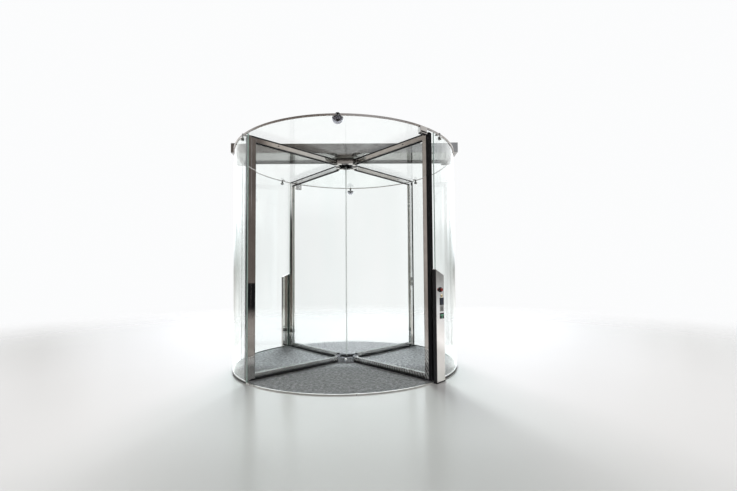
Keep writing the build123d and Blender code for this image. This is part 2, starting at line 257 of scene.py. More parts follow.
GLASS_BODY = (0.45, 0.90, 0.76)
M = {
    "polished_steel": metal("polished_steel", (0.60, 0.575, 0.555), (0.67, 0.65, 0.63), (0.0, 0.022),
                            wave=0.00025, wave_scale=3.0),
    "transom_steel": metal("transom_steel", (0.25, 0.25, 0.245), (0.38, 0.38, 0.375), (0.03, 0.10),
                           grain=(1.6, 3.0, 3.0), scale=3.4, wave=0.0022, wave_scale=3.2),
    "hub_steel": metal("hub_steel", (0.15, 0.15, 0.155), (0.30, 0.30, 0.305), (0.16, 0.30), scale=26.0,
                       scratch=0.0002, edge_tint=(0.42, 0.42, 0.43)),
    "bright_steel": metal("bright_steel", (0.88, 0.88, 0.88), (0.97, 0.97, 0.97), (0.34, 0.46), scale=30.0),
    "joint_grey": plastic("joint_grey", (0.16, 0.175, 0.175), (0.27, 0.285, 0.285), (0.3, 0.5), scale=24.0),
    "rim_steel": metal("rim_steel", (0.30, 0.275, 0.26), (0.44, 0.41, 0.39), (0.22, 0.34),
                       grain=(1, 1, 60), scale=14.0, scratch=0.0002),
    "satin_steel": metal("satin_steel", (0.62, 0.62, 0.60), (0.76, 0.76, 0.74), (0.25, 0.38),
                         grain=(1, 1, 40), scale=18.0, scratch=0.0002),
    "clamp_steel": metal("clamp_steel", (0.20, 0.20, 0.195), (0.34, 0.34, 0.33), (0.25, 0.40),
                         scale=60.0, scratch=0.0002),
    "aluminium": metal("pale_aluminium", (0.78, 0.79, 0.79), (0.90, 0.91, 0.91), (0.25, 0.40),
                       grain=(1, 1, 30), scale=20.0, scratch=0.0001),
    "drum_glass": glass("drum_glass", 1.42, GLASS_BODY, 2.2, 0.0004),
    "canopy_glass": glass("canopy_glass", 1.16, GLASS_BODY, 0.8, 0.0004),
    "wing_glass": glass("wing_glass", 1.32, GLASS_BODY, 1.0, 0.0003),
    "dark_metal": plastic("dark_metal", (0.010, 0.010, 0.011), (0.024, 0.024, 0.026), (0.30, 0.45),
                          scale=90.0, grain=0.0001, shine=0.25),
    "brush_seal": plastic("brush_seal", (0.004, 0.004, 0.005), (0.016, 0.016, 0.017), (0.6, 0.85),
                          scale=110.0, grain=0.0012, stretch=(1, 1, 0.06), shine=0.12),
    "rubber": plastic("rubber_gasket", (0.006, 0.006, 0.007), (0.016, 0.016, 0.017), (0.5, 0.7),
                      scale=160.0, grain=0.0001, shine=0.12),
    "silicone": plastic("silicone", (0.50, 0.55, 0.54), (0.62, 0.66, 0.65), (0.30, 0.45), scale=30.0,
                        grain=0.0002),
    "mat_base": plastic("mat_base", (0.008, 0.008, 0.009), (0.02, 0.02, 0.021), (0.6, 0.85),
                        scale=140.0, grain=0.0004, shine=0.1),
    "black_panel": plastic("black_panel", (0.006, 0.006, 0.007), (0.014, 0.014, 0.016), (0.10, 0.20),
                           scale=50.0, shine=0.12),
    "red_plastic": plastic("red_plastic", (0.20, 0.010, 0.007), (0.34, 0.022, 0.014), (0.20, 0.32),
                           scale=30.0, shine=0.3),
    "grey_label": plastic("grey_label", (0.45, 0.45, 0.43), (0.56, 0.56, 0.54), (0.35, 0.5), scale=60.0),
    "green_light": plastic("green_light", (0.05, 0.35, 0.16), (0.12, 0.50, 0.26), (0.2, 0.3), scale=60.0,
                           coat=0.4),
    "sensor_grey": plastic("sensor_grey", (0.055, 0.055, 0.060), (0.10, 0.10, 0.11), (0.2, 0.35),
                           scale=50.0, coat=0.3),
    "pale_plastic": plastic("pale_plastic", (0.40, 0.40, 0.42), (0.52, 0.52, 0.54), (0.3, 0.45),
                            scale=50.0),
    "clear_bead": plastic("clear_bead", (0.40, 0.45, 0.43), (0.56, 0.61, 0.59), (0.2, 0.35), scale=40.0),
    "glass_edge": plastic("glass_edge", (0.36, 0.52, 0.45), (0.52, 0.66, 0.60), (0.10, 0.22),
                          scale=14.0, stretch=(1, 1, 0.3)),
    "pale_edge": plastic("pale_edge", (0.78, 0.81, 0.80), (0.88, 0.90, 0.89), (0.15, 0.3),
                         scale=14.0, stretch=(1, 1, 0.3), alpha=0.5),
    "brass": metal("lock_brass", (0.60, 0.50, 0.30), (0.72, 0.62, 0.40), (0.18, 0.32), scale=50.0),
    "screen": plastic("screen", (0.004, 0.006, 0.016), (0.008, 0.013, 0.034), (0.06, 0.12), scale=30.0,
                      shine=0.2),
}


def carpet():
    """Ribbed pile, darkened toward the inside of the building by painted shade, which stands in for the
    lesser daylight there.
    """
    mat, tree, shader = new_material("mat_carpet")
    pile = noise(tree, coords(tree), 75.0, 6.0, 0.75)
    tree.links.new(spread(tree, pile, 0.50, 0.70), shader.inputs["Roughness"])
    shader.inputs["Specular IOR Level"].default_value = 0.6
    flecks = noise(tree, coords(tree, (1, 1, 0.2)), 30.0, 3.0, 0.7)
    mixed = math_node(tree, "ADD", math_node(tree, "MULTIPLY", pile, 0.35),
                      math_node(tree, "MULTIPLY", flecks, 0.65))
    colour = ramp(tree, mixed, ((0.38, (0.20, 0.205, 0.215)), (0.50, (0.52, 0.53, 0.55)),
                                (0.62, (0.92, 0.93, 0.96))))
    cloud = noise(tree, coords(tree), 3.0, 3.0, 0.6)
    inward = math_node(tree, "ADD", axes(tree, place_in(tree))["Y"],
                       math_node(tree, "MULTIPLY", cloud, 0.16))
    # Painted shade: the mat's colour darkens toward the inside of the building
    painted_inner_shade = ramp(tree, spread(tree, inward, 0.0, 1.0, -0.60, 0.10),
                ((0.0, (0.44, 0.432, 0.422)), (0.35, (0.47, 0.465, 0.46)), (0.62, (0.88, 0.88, 0.885)),
                 (1.0, (0.88, 0.88, 0.89))))
    tree.links.new(colour_mix(tree, "MULTIPLY", 1.0, colour, painted_inner_shade), shader.inputs["Base Color"])
    bump(tree, shader, pile, 0.0006)
    return mat


def kick_steel():
    """Polished steel of the bottom rails, a little rougher on their lower part, which is darkened by
    painted shade standing in for the shadowed mat they mirror.
    """
    mat, tree, shader = new_material("kick_steel")
    shader.inputs["Metallic"].default_value = 1.0
    shade_edge_noise = noise(tree, coords(tree), 7.0, 4.0, 0.6)
    height = spread(tree, axes(tree, place_in(tree))["Z"], 0.0, 1.0, FRAME_BOTTOM, FRAME_BOTTOM + RAIL)
    level = math_node(tree, "ADD", height, math_node(tree, "MULTIPLY", shade_edge_noise, -0.24))
    # Painted shade: the base colour darkens toward the bottom of the rail
    tree.links.new(ramp(tree, level, ((0.06, (0.03, 0.029, 0.029)), (0.26, (0.20, 0.195, 0.19)),
                                      (0.52, (0.35, 0.342, 0.335)), (0.84, (0.37, 0.362, 0.355)))),
                   shader.inputs["Base Color"])
    tree.links.new(spread(tree, level, 0.03, 0.01), shader.inputs["Roughness"])
    return mat


def footed_steel(name, painted_shade_colour, start, end, edge_tint=1.0):
    """Mirror polished steel with painted shade below a height, standing in for the darker reflections and
    shade there.
    """
    mat, tree, shader = new_material(name)
    shader.inputs["Specular Tint"].default_value = (edge_tint, edge_tint, edge_tint, 1)
    shader.inputs["Metallic"].default_value = 1.0
    value = noise(tree, coords(tree), 9.0, 5.0, 0.6)
    unshaded = ramp(tree, value, ((0.3, (0.60, 0.575, 0.555)), (0.7, (0.67, 0.65, 0.63))))
    # Painted shade below the given height
    foot = spread(tree, axes(tree, place_in(tree))["Z"], 0.0, 1.0, start, end)
    tree.links.new(colour_mix(tree, "MIX", foot, painted_shade_colour, unshaded), shader.inputs["Base Color"])
    smudge = noise(tree, coords(tree), 5.0, 3.0, 0.55)
    tree.links.new(spread(tree, smudge, 0.0, 0.022), shader.inputs["Roughness"])
    bump(tree, shader, noise(tree, coords(tree, (1, 1, 0.35)), 3.0, 1.0, 0.4), 0.00025)
    return mat


def smoked():
    mat, tree, shader = new_material("smoked_dome")
    shader.inputs["Base Color"].default_value = (0.62, 0.62, 0.66, 1)
    shader.inputs["Transmission Weight"].default_value = 1.0
    shader.inputs["IOR"].default_value = 1.45
    tree.links.new(spread(tree, noise(tree, coords(tree), 60.0), 0.03, 0.10), shader.inputs["Roughness"])
    return mat


M["smoked"] = smoked()
M["carpet"] = carpet()
M["kick_steel"] = kick_steel()
# Painted shade on the stiles' lowest part and on the top hub's underside
M["stile_steel"] = footed_steel("stile_steel", (0.29, 0.282, 0.275, 1), 0.155, 0.205)
M["top_hub_steel"] = footed_steel("top_hub_steel", (0.17, 0.168, 0.168, 1), HUB_UNDER + 0.0006,
                                  HUB_UNDER + 0.0012, 0.6)

SLOT_LOOK = {"entrance_mat": "mat_base"}
NODE_LOOK = {"transom": "transom_steel", "wall_joint_strips": "joint_grey", "bottom_hub": "hub_steel",
             "top_hub": "top_hub_steel"}
for k in (1, 2, 3, 4):
    NODE_LOOK[f"wing_{k}_bottom_rail"] = "kick_steel"
    NODE_LOOK[f"wing_{k}_stile"] = "stile_steel"
record_slots = {s["node"]: s["material_slot"] for s in frame["record"]["subparts"]}
for name, node in nodes.items():
    slot = record_slots[name]
    look = M[NODE_LOOK.get(name, SLOT_LOOK.get(slot, slot))]
    if node.material_slots:
        for held in node.material_slots:
            held.material = look
    else:
        node.data.materials.append(look)


# Mesh helpers
class Shape:
    """Collects closed meshes, each placed by a matrix, and makes one piece of them."""

    def __init__(self):
        self.verts, self.faces, self.smooth = [], [], []

    def add(self, verts, faces, at=None, smooth=False):
        start = len(self.verts)
        self.verts += [(at @ Vector(v)) if at else Vector(v) for v in verts]
        self.faces += [[i + start for i in f] for f in faces]
        self.smooth += [smooth] * len(faces)

    def lathe(self, profile, segments, at=None):
        """Revolves (radius, z) points about the local Z axis; end points may lie on it."""
        verts, rings = [], []
        for radius, z in profile:
            if radius < 1e-7:
                rings.append([len(verts)])
                verts.append((0, 0, z))
            else:
                rings.append(list(range(len(verts), len(verts) + segments)))
                for k in range(segments):
                    a = 2 * math.pi * k / segments
                    verts.append((radius * math.cos(a), radius * math.sin(a), z))
        faces = []
        pairs = list(zip(rings, rings[1:]))
        if len(rings[0]) > 1 and len(rings[-1]) > 1:
            pairs.append((rings[-1], rings[0]))
        for a, b in pairs:
            for k in range(segments):
                n = (k + 1) % segments
                if len(a) == 1 and len(b) > 1:
                    faces.append([a[0], b[n], b[k]])
                elif len(b) == 1 and len(a) > 1:
                    faces.append([a[k], a[n], b[0]])
                elif len(a) > 1:
                    faces.append([a[k], a[n], b[n], b[k]])
        self.add(verts, faces, at, True)

    def prism(self, outline, low, high, at=None, chamfer=0.0):
        """Extrudes a convex outline in local XY between two heights, with its top edge chamfered."""
        cx = sum(p[0] for p in outline) / len(outline)
        cy = sum(p[1] for p in outline) / len(outline)
        levels = [(low, 0.0), (high - chamfer, 0.0), (high, chamfer)] if chamfer else [(low, 0), (high, 0)]
        verts = []
        for z, cut in levels:
            for x, y in outline:
                away = math.hypot(x - cx, y - cy)
                keep = max(0.2, 1 - cut * 1.2 / away)
                verts.append((cx + (x - cx) * keep, cy + (y - cy) * keep, z))
        n = len(outline)
        faces = [list(range(n))[::-1], list(range(len(verts) - n, len(verts)))]
        for level in range(len(levels) - 1):
            for k in range(n):
                m = (k + 1) % n
                faces.append([level * n + k, level * n + m, (level + 1) * n + m, (level + 1) * n + k])
        self.add(verts, faces, at)

    def sweep(self, section, path, across, at):
        """Sweeps section points (inward, across) along path; corners are mitred in the plane
        square to the across direction."""
        across = Vector(across).normalized()
        path = [Vector(p) for p in path]
        inward = [across.cross((b - a).normalized()) for a, b in zip(path, path[1:])]
        last, verts = len(inward), []
        for i, p in enumerate(path):
            before, after = inward[max(0, i - 1)], inward[min(i, last - 1)]
            mid = (before + after).normalized()
            mid *= 1 / max(0.3, mid.dot(before))
            verts += [p + mid * a + across * b for a, b in section]
        n, faces = len(section), []
        for i in range(last):
            for k in range(n):
                m = (k + 1) % n
                faces.append([i * n + k, i * n + m, (i + 1) * n + m, (i + 1) * n + k])
        faces += [list(range(n)), list(range(last * n, (last + 1) * n))[::-1]]
        self.add(verts, faces, at)

    def piece(self, name, body, look, slot):
        mesh = bpy.data.meshes.new(name)
        mesh.from_pydata(self.verts, [], self.faces)
        mesh.polygons.foreach_set("use_smooth", self.smooth)
        build = bmesh.new()
        build.from_mesh(mesh)
        bmesh.ops.recalc_face_normals(build, faces=build.faces)
        build.to_mesh(mesh)
        build.free()
        mesh.update()
        ob = bpy.data.objects.new(name, mesh)
        bpy.context.scene.collection.objects.link(ob)
        mesh.materials.append(M[look])
        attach(ob, body)
        return ob


def turned(angle):
    return Matrix.Rotation(math.radians(angle), 4, "Z")


def facing(angle, distance, side, height):
    """Local Z points outward at an angle, local Y up and local X to the right as seen from outside."""
    a = math.radians(angle)
    out = Vector((math.cos(a), math.sin(a), 0))
    aside = Vector((-math.sin(a), math.cos(a), 0))
    base = Matrix((aside, Vector((0, 0, 1)), out)).transposed().to_4x4()
    base.translation = out * distance + aside * side + Vector((0, 0, height))
    return base


def on_wing(angle, reach, side, height):
    """A place on one face of a wing's frame, with local Z pointing away from it."""
    return (turned(angle) @ Matrix.Translation((reach, side * HALF_FRAME, height))
            @ Matrix.Rotation(math.radians(-90 * side), 4, "X"))


def rounded(width, height, radius):
    """Outline of a rounded rectangle about the origin."""
    points, steps = [], 4
    for cx, cy, start in ((1, 1, 0), (-1, 1, 90), (-1, -1, 180), (1, -1, 270)):
        for k in range(steps + 1):
            a = math.radians(start + 90 * k / steps)
            points.append((cx * (width / 2 - radius) + radius * math.cos(a),
                           cy * (height / 2 - radius) + radius * math.sin(a)))
    return points


def dome_profile(radius, height):
    """Domed bolt head: (radius, z) points from under its middle, round the edge, to the crown."""
    points = [(0, -0.0005), (radius, -0.0005), (radius, height * 0.25)]
    for k in range(1, 5):
        a = math.radians(18 * k)
        points.append((radius * math.cos(a), height * (0.25 + 0.75 * math.sin(a))))
    return points + [(0, height)]


def cap_profile(radius, height, socket):
    """Cap screw head with a socket in it."""
    edge = radius * 0.12
    return [(0, -0.0005), (radius, -0.0005), (radius, height - edge), (radius - edge, height),
            (socket, height), (socket, height * 0.45), (0, height * 0.45)]


# Entrance mat
STRIP_PITCH, STRIP_WIDTH, STRIP_PROUD = 0.0268, 0.0178, 0.0010
strip_limit, bearing_limit = MAT_RADIUS - 0.003, BEARING_RADIUS + 0.004
strips = Shape()


def chord_pieces(y_mid, half):
    """The stretches of one strip: whole, or left and right of the mat's round hole, or none at all."""
    reach = math.sqrt(max(0.0, strip_limit ** 2 - (abs(y_mid) + half) ** 2))
    if reach < 0.02:
        return []
    if abs(y_mid) - half >= bearing_limit:
        return [(-1, 1)]
    return [(-1, 0), (0, 1)]


def mat_strip(y_mid, section):
    half = max(abs(y) for y, _ in section)
    for kind in chord_pieces(y_mid, half):
        ends = []
        for side in kind:
            row = []
            for y, z in section:
                at = y_mid + y
                outer = math.sqrt(strip_limit ** 2 - at * at)
                inner = math.sqrt(max(0.0, bearing_limit ** 2 - at * at)) if 0 in kind else 0
                x = side * outer if side else inner * (1 if kind == (0, 1) else -1)
                row.append((x, at, z))
            ends.append(row)
        n = len(section)
        faces = [list(range(n)), list(range(n, 2 * n))[::-1]]
        faces += [[k, (k + 1) % n, n + (k + 1) % n, n + k] for k in range(n)]
        strips.add(ends[0] + ends[1], faces)


w, top = STRIP_WIDTH / 2, MAT_TOP + STRIP_PROUD
carpet_section = [(-w, MAT_TOP - 0.0005), (-w, top - 0.0006), (-w + 0.0012, top - 0.0001), (0, top),
                  (w - 0.0012, top - 0.0001), (w, top - 0.0006), (w, MAT_TOP - 0.0005)]
count = int(MAT_RADIUS / STRIP_PITCH)
for k in range(-count, count + 1):
    mat_strip(k * STRIP_PITCH, carpet_section)
strips.piece("mat_carpet_strips", "drum", "carpet", "entrance_mat")

# Wings
BEAD = [(0, 0.0062), (0, 0.0105), (0.0014, 0.0105), (0.0030, 0.0085), (0.0030, 0.0062)]
# GASKET covers the whole underside of a top rail: a dark rubber strip whose black also stands in for the
# shade under the rail
GASKET = [(0, 0.0062), (0, 0.0242), (0.0012, 0.0242), (0.0030, 0.0085), (0.0030, 0.0062)]
JOINT = [(-0.0060, 0.0246), (-0.0060, 0.0253), (-0.0044, 0.0253), (-0.0044, 0.0246)]
pale_path = [(HUB_REACH, 0, FRAME_BOTTOM + RAIL), (STILE_IN, 0, FRAME_BOTTOM + RAIL),
             (STILE_IN, 0, FRAME_TOP - RAIL - 0.004)]
dark_path = [(STILE_IN, 0, FRAME_TOP - RAIL), (HUB_REACH, 0, FRAME_TOP - RAIL)]
frame_path = pale_path[:2] + dark_path
gaskets, beads, joints, holes = Shape(), Shape(), Shape(), Shape()
top_carriers, bottom_carriers, edge_covers = Shape(), Shape(), Shape()
fixings, edge_strips, brushes = Shape(), Shape(), Shape()


def tuft(base, out, side, length, at):
    """One tapered tuft of bristles with a little lean."""
    lean = side * rng.uniform(-0.35, 0.35) * BRUSH_WIDTH
    half, wide = side * BRUSH_WIDTH * 0.5, out.cross(side) * BRUSH_WIDTH * 0.5
    tip = base + out * length * rng.uniform(0.8, 1.0) + lean
    brushes.add([base - half - wide, base + half - wide, base + half + wide, base - half + wide, tip],
                [[0, 1, 2, 3], [0, 1, 4], [1, 2, 4], [2, 3, 4], [3, 0, 4]], at)


for angle in WING_ANGLES:
    at = turned(angle)
    for side in (1, -1):
        beads.sweep([(a, side * v) for a, v in BEAD], pale_path, (0, -1, 0), at)
        gaskets.sweep([(a, side * v) for a, v in GASKET], dark_path, (0, -1, 0), at)
        ends = sorted((side * 0.0218, side * (HALF_FRAME + 0.0006)))
        carrier = [(HUB_REACH + 0.002, ends[0]), (STILE_OUT + 0.002, ends[0]),
                   (STILE_OUT + 0.002, ends[1]), (HUB_REACH + 0.002, ends[1])]
        top_carriers.prism(carrier, FRAME_TOP - 0.0035, WING_TOP - 0.0005, at)
        # The bottom seal carriers are dark metal; their black also stands in for the shade under the bottom
        # rails
        ends = sorted((side * 0.0221, side * HALF_FRAME))
        plate = [(HUB_REACH + 0.002, ends[0]), (STILE_OUT, ends[0]),
                 (STILE_OUT, ends[1]), (HUB_REACH + 0.002, ends[1])]
        bottom_carriers.prism(plate, WING_BOTTOM + 0.0005, FRAME_BOTTOM - 0.0003, at)
        joints.sweep([(a, side * v) for a, v in JOINT], frame_path, (0, -1, 0), at)
        holes.prism([(0.011 * math.cos(k * math.pi / 10), 0.0052 * math.sin(k * math.pi / 10))
                     for k in range(20)], -0.0005, 0.0006,
                    on_wing(angle, RAIL_HOLE_AT, side, FRAME_TOP - 0.024))
        for x in RAIL_SCREWS_AT:
            for z in (FRAME_BOTTOM + 0.019, FRAME_TOP - 0.019):
                fixings.lathe(cap_profile(0.0055, 0.0012, 0.0024), 18, on_wing(angle, x, side, z))
        if side < 0:
            edge_strips.prism([(STILE_OUT - 0.0010, -0.0248), (STILE_OUT + 0.0045, -0.0246),
                               (STILE_OUT + 0.0045, -0.0215), (STILE_OUT - 0.0010, -0.0205)],
                              WING_BOTTOM + 0.001, WING_TOP - 0.001, at)
        else:
            edge_covers.prism([(STILE_OUT - 0.0002, 0.0232), (COVER_END, 0.0232),
                               (COVER_END, 0.0250), (STILE_OUT - 0.0002, 0.0250)],
                              WING_BOTTOM + 0.001, WING_TOP - 0.001, at)
    for row in range(int((WING_TOP - WING_BOTTOM) / BRUSH_PITCH)):
        z = WING_BOTTOM + 0.004 + row * BRUSH_PITCH
        for v in (-0.0075, 0.0075):
            tuft(Vector((SEAL_TIP - 0.001, v, z)), Vector((1, 0, 0)), Vector((0, 0, 1)), 0.0038, at)
    for step in range(int((STILE_OUT - HUB_REACH - 0.004) / BRUSH_PITCH)):
        x = HUB_REACH + 0.004 + step * BRUSH_PITCH
        for z, up in ((WING_BOTTOM, -1), (WING_TOP, 1)):
            tuft(Vector((x, 0.004 * (-1) ** step, z - up * 0.001)), Vector((0, 0, up)), Vector((1, 0, 0)),
                 0.0036, at)
gaskets.piece("wing_top_gaskets", "rotor", "rubber", "brush_seal")
top_carriers.piece("wing_top_seal_carriers", "rotor", "rubber", "brush_seal")
bottom_carriers.piece("wing_bottom_seal_carriers", "rotor", "dark_metal", "dark_metal")
edge_covers.piece("wing_edge_covers", "rotor", "stile_steel", "polished_steel")
beads.piece("wing_glazing_beads", "rotor", "clear_bead", "silicone")
joints.piece("wing_bead_joints", "rotor", "rubber", "brush_seal")
holes.piece("wing_rail_holes", "rotor", "rubber", "brush_seal")
fixings.piece("wing_rail_screws", "rotor", "satin_steel", "polished_steel")
edge_strips.piece("wing_brush_holders", "rotor", "dark_metal", "brush_seal")
brushes.piece("wing_brush_pile", "rotor", "brush_seal", "brush_seal")

# Lock on the stile of wing 1
lock_plate, lock_barrel, lock_key = Shape(), Shape(), Shape()
for side in (1, -1):
    place = on_wing(WING_ANGLES[0], STILE_IN + 0.025, side, LOCK_LEVEL)
    lock_plate.prism(rounded(0.034, 0.130, 0.006), -0.0005, 0.0022, place, 0.0008)
    lock_barrel.lathe([(0, 0.0018), (0.0135, 0.0018), (0.0135, 0.0050), (0.0125, 0.0062), (0.0100, 0.0066),
                       (0.0096, 0.0056), (0, 0.0056)], 32, place)
    lock_key.prism([(-0.0040, -0.0012), (0.0040, -0.0012), (0.0040, 0.0012), (-0.0040, 0.0012)],
                   0.0050, 0.0059, place)
lock_plate.piece("lock_plates", "rotor", "clamp_steel", "polished_steel")
lock_barrel.piece("lock_barrels", "rotor", "satin_steel", "polished_steel")
lock_key.piece("lock_keyways", "rotor", "rubber", "brush_seal")

# Hubs
hub_plates, hub_screws, pocket_shade_cups, hub_bolts, hub_caps = Shape(), Shape(), Shape(), Shape(), Shape()
top_mid, top_tall = (HUB_UNDER + WING_TOP) / 2, WING_TOP - HUB_UNDER
for angle in WING_ANGLES:
    side_angle = angle + 45
    for side in (-1, 1):
        place = facing(side_angle, HUB_SIDE, side * HUB_PLATE_ASIDE, top_mid)
        hub_plates.prism(rounded(HUB_PLATE_WIDTH, top_tall - 0.003, 0.003), -0.0005, 0.0020, place, 0.0006)
        under = (facing(side_angle, HUB_SIDE - 0.020, side * HUB_PLATE_ASIDE, HUB_UNDER)
                 @ Matrix.Rotation(math.radians(90), 4, "X"))
        hub_plates.prism(rounded(HUB_PLATE_WIDTH, 0.044, 0.003), -0.0005, 0.0020, under, 0.0006)
        for dx in (-0.012, 0.012):
            hub_screws.lathe(cap_profile(0.0050, 0.0016, 0.0022), 18,
                             place @ Matrix.Translation((dx, 0.010, 0.0018)))
    hub_bolts.lathe(dome_profile(0.0150, 0.0120), 28, facing(side_angle, HUB_SIDE, 0, HUB_BOLT_LEVEL))
    a = math.radians(side_angle)
    spot = Matrix.Translation((HUB_SCREW_RADIUS * math.cos(a), HUB_SCREW_RADIUS * math.sin(a), HUB_TOP))
    hub_caps.lathe(cap_profile(0.0075, 0.0030, 0.0034), 20, spot)
# Dark cups lining the hubs' pockets: painted shade of these recesses
ring = 0.0012
cup = [(POCKET - 0.0002, 0), (POCKET - 0.0002, -POCKET_DEPTH + 0.0002), (0, -POCKET_DEPTH + 0.0002),
       (0, -POCKET_DEPTH + ring), (POCKET - ring, -POCKET_DEPTH + ring), (POCKET - ring, 0)]
pocket_shade_cups.lathe(cup, 64, Matrix.Translation((0, 0, HUB_TOP)))
pocket_shade_cups.lathe([(r, -z) for r, z in cup], 64, Matrix.Translation((0, 0, HUB_UNDER)))
hub_plates.piece("hub_corner_plates", "rotor", "polished_steel", "polished_steel")
hub_screws.piece("hub_plate_screws", "rotor", "clamp_steel", "polished_steel")
pocket_shade_cups.piece("hub_pocket_shade_cups", "rotor", "rubber", "polished_steel")
hub_bolts.piece("hub_side_bolts", "rotor", "bright_steel", "polished_steel")
hub_caps.piece("hub_top_screws", "rotor", "clamp_steel", "polished_steel")

# Glass edges, foot trims, beads, shoes and the canopy's joint
def sector(shape, section, start, end):
    """Sweeps (radius, z) points about the axis from one angle to another."""
    n, steps, verts = len(section), 60, []
    for k in range(steps + 1):
        a = math.radians(start + (end - start) * k / steps)
        verts += [(r * math.cos(a), r * math.sin(a), z) for r, z in section]
    faces = [list(range(n))[::-1], list(range(steps * n, (steps + 1) * n))]
    for k in range(steps):
        for i in range(n):
            j = (i + 1) % n
            faces.append([k * n + i, k * n + j, (k + 1) * n + j, (k + 1) * n + i])
    shape.add(verts, faces)


edges, foot_trims, foot_beads, wing_edges, canopy_joint = Shape(), Shape(), Shape(), Shape(), Shape()
shoes = Shape()
for middle in (0, 180):
    sector(foot_trims, [(1.3501, 0.0263), (1.3501, 0.0285), (1.3554, 0.0285), (1.3554, 0.0190),
                        (1.3546, 0.0190), (1.3546, 0.0263)], middle - 45, middle + 45)
    sector(foot_beads, [(1.3345, 0.0121), (1.3379, 0.0121), (1.3379, 0.0165)], middle - 44.9,
           middle + 44.9)
    for end, way in ((middle - 45, -1), (middle + 45, 1)):
        strip = facing(end, 0, 0, 0)
        edges.add([(way * s, z, r) for z in (MAT_TOP, WALL_TOP)
                   for r, s in ((WALL_INNER + 0.0008, 0.0006), (WALL_OUTER - 0.0008, 0.0006),
                                (WALL_OUTER, -0.0002), (WALL_INNER, -0.0002))],
                  [[0, 1, 2, 3], [4, 5, 6, 7], [0, 1, 5, 4], [1, 2, 6, 5], [2, 3, 7, 6], [3, 0, 4, 7]],
                  strip)
shoe = [(0.0094, -0.0068), (HUB_REACH - 0.0005, -0.0068), (HUB_REACH - 0.0005, 0.0068), (0.0094, 0.0068)]
for angle in WING_ANGLES:
    wing_edges.prism([(0.0083, -HALF_GLASS), (0.0091, -HALF_GLASS), (0.0091, HALF_GLASS),
                      (0.0083, HALF_GLASS)], HUB_TOP + 0.0007, HUB_UNDER - 0.0007, turned(angle))
    shoes.prism(shoe, HUB_TOP + 0.0002, HUB_TOP + 0.0034, turned(angle))
    shoes.prism(shoe, HUB_UNDER - 0.0034, HUB_UNDER - 0.0002, turned(angle))
canopy_joint.prism([(-1.348, 0.0482), (1.348, 0.0482), (1.348, 0.0518), (-1.348, 0.0518)],
                   WALL_TOP + 0.0006, CANOPY_TOP - 0.0006)
edges.piece("wall_glass_edges", "drum", "glass_edge", "drum_glass")
foot_trims.piece("wall_foot_trims", "drum", "aluminium", "satin_steel")
foot_beads.piece("wall_foot_beads", "drum", "clear_bead", "silicone")
wing_edges.piece("wing_glass_edges", "rotor", "pale_edge", "wing_glass")
shoes.piece("wing_glass_shoes", "rotor", "rubber", "brush_seal")
canopy_joint.piece("canopy_joint_bead", "drum", "silicone", "silicone")

# Clamps and transom
clamp_screws, clamp_pads = Shape(), Shape()
for angle in CLAMP_ANGLES:
    a = math.radians(angle)
    clamp_screws.lathe(cap_profile(0.0105, 0.0045, 0.0048), 24,
                       Matrix.Translation((CLAMP_DISC_AT * math.cos(a), CLAMP_DISC_AT * math.sin(a),
                                           CLAMP_TOP)))
    boss = facing(angle, CLAMP_BOSS_END, 0, CLAMP_BOSS_LEVEL)
    clamp_screws.lathe([(0, -0.0005), (0.0165, -0.0005), (0.0165, 0.0015), (0.0140, 0.0035),
                        (0.0060, 0.0040), (0.0055, 0.0020), (0, 0.0020)], 28, boss)
    clamp_pads.lathe([(0.0150, 0), (0.0195, 0), (0.0195, 0.0022), (0.0150, 0.0022)], 28,
                     facing(angle, WALL_OUTER, 0, CLAMP_BOSS_LEVEL))
clamp_screws.piece("clamp_screws", "drum", "satin_steel", "clamp_steel")
clamp_pads.piece("clamp_pads", "drum", "rubber", "brush_seal")

seams, beam_screws = Shape(), Shape()
low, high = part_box("transom")
for x in SEAM_PLACES:
    front_line = Matrix.Translation((x, low.y, 0)) @ Matrix.Rotation(math.radians(90), 4, "X")
    seams.prism([(-0.0011, low.z + 0.003), (0.0011, low.z + 0.003), (0.0011, high.z - 0.003),
                 (-0.0011, high.z - 0.003)], -0.0004, 0.0003, front_line)
    band = [(x - 0.0011, low.y + 0.003), (x + 0.0011, low.y + 0.003), (x + 0.0011, high.y - 0.003),
            (x - 0.0011, high.y - 0.003)]
    seams.prism(band, low.z - 0.0003, low.z + 0.0004)
    seams.prism(band, high.z - 0.0004, high.z + 0.0003)
for x in BEAM_SCREW_PLACES:
    for y in (low.y + 0.030, low.y + 0.150):
        beam_screws.lathe(cap_profile(0.0055, 0.0014, 0.0024), 16,
                          Matrix.Translation((x, y, low.z)) @ Matrix.Rotation(math.pi, 4, "X"))
seams.piece("transom_seams", "drum", "rubber", "dark_metal")
beam_screws.piece("transom_screws", "drum", "clamp_steel", "clamp_steel")

